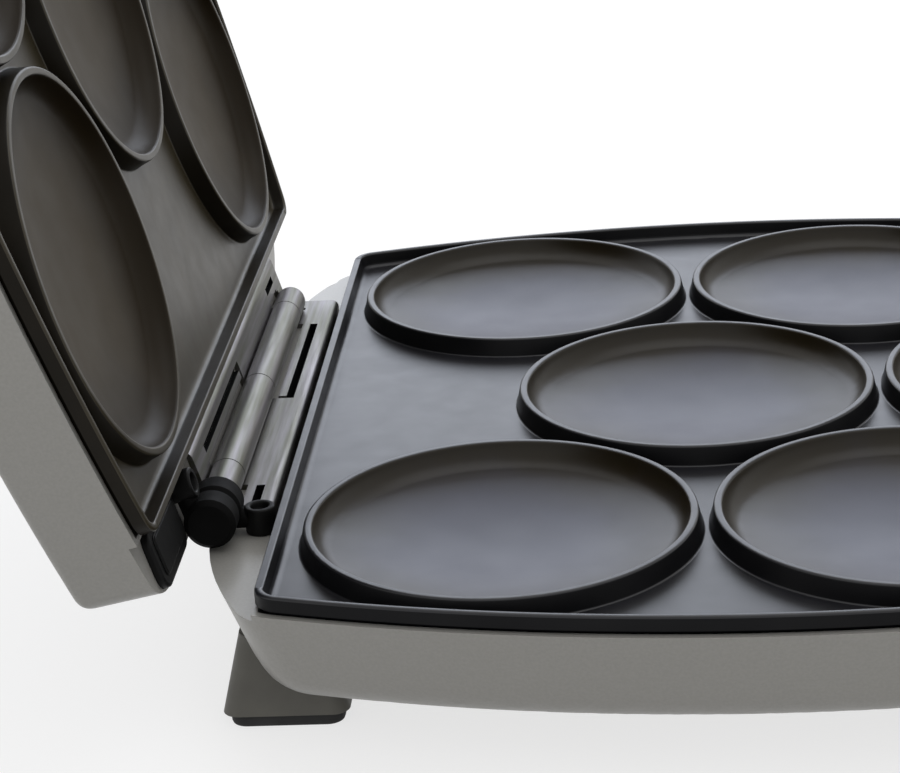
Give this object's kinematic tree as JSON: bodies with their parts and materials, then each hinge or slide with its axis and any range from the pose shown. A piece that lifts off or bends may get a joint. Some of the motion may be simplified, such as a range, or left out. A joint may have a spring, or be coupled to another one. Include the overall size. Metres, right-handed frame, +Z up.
{
  "type": "arepa maker",
  "caption": "Countertop arepa maker with two hinged halves, each a cast plate of round ring pans in a silver shell, shown open on flared legs.",
  "frame": {"origin": "centre of the bounding box on the table under the pads, with the lid open", "axes": "+X from the hinge to the front handle, +Y along the hinge axis, +Z up"},
  "size_m": [0.41, 0.2812, 0.3615],
  "materials": {
    "housing_shell": "satin warm-silver painted shell",
    "grid_plate_base": "dark satin non-stick coating on a cast plate",
    "grid_plate_lid": "dark warm-grey satin non-stick coating on a cast plate",
    "hinge_metal": "zinc-plated pressed steel",
    "fastener": "plated steel screws",
    "heater": "oxidised steel sheath",
    "reflector_sheet": "mill-finish sheet",
    "handle_plastic": "fine-grained black phenolic",
    "leg_plastic": "grey-olive moulded plastic",
    "pad_rubber": "black rubber",
    "boot_rubber": "black silicone sleeve",
    "gland_plastic": "black moulded bush",
    "trim_finish": "satin silver panel",
    "power_lens": "clear red lens",
    "ready_lens": "clear green lens",
    "latch_finish": "black phenolic",
    "control_plastic": "cream phenolic control parts"
  },
  "bodies": {
    "base": {"base_housing": "housing_shell", "base_grid_plate": "grid_plate_base", "base_heating_element": "heater", "base_element_straps": "heater", "base_reflector": "reflector_sheet", "base_plate_screws": "fastener", "base_handle": "handle_plastic", "base_handle_screws": "fastener", "base_hinge_leaf": "hinge_metal", "base_leaf_screws": "fastener", "hinge_pin": "hinge_metal", "base_wire_boot": "boot_rubber", "base_wire_gland": "gland_plastic", "leg_screws": "fastener", "leg_pads": "pad_rubber", "cord_gland": "gland_plastic", "thermostat": "control_plastic", "thermal_fuse": "control_plastic", "terminal_block": "control_plastic", "rear_leg_left": "leg_plastic", "rear_leg_right": "leg_plastic", "front_leg_left": "leg_plastic", "front_leg_right": "leg_plastic"},
    "lid": {"lid_housing": "housing_shell", "lid_grid_plate": "grid_plate_lid", "lid_heating_element": "heater", "lid_element_straps": "heater", "lid_reflector": "reflector_sheet", "lid_plate_screws": "fastener", "lid_handle": "handle_plastic", "lid_handle_screws": "fastener", "lid_hinge_leaf": "hinge_metal", "lid_leaf_screws": "fastener", "lid_wire_boot": "boot_rubber", "lid_wire_gland": "gland_plastic", "lid_trim_panel": "trim_finish", "latch_pin": "fastener", "power_lamp_lens": "power_lens", "ready_lamp_lens": "ready_lens"},
    "latch": {"latch": "latch_finish"}
  },
  "joints": [
    {"name": "lid_hinge", "type": "hinge", "parent": "base", "child": "lid", "pos_m": [-0.10362, 0, 0.045], "axis": [0, 1, 0], "range_deg": [0, 106]},
    {"name": "latch_pivot", "type": "hinge", "parent": "lid", "child": "latch", "pos_m": [-0.19482, 0, 0.33406], "axis": [0, 1, 0], "range_deg": [0, 40]}
  ]
}
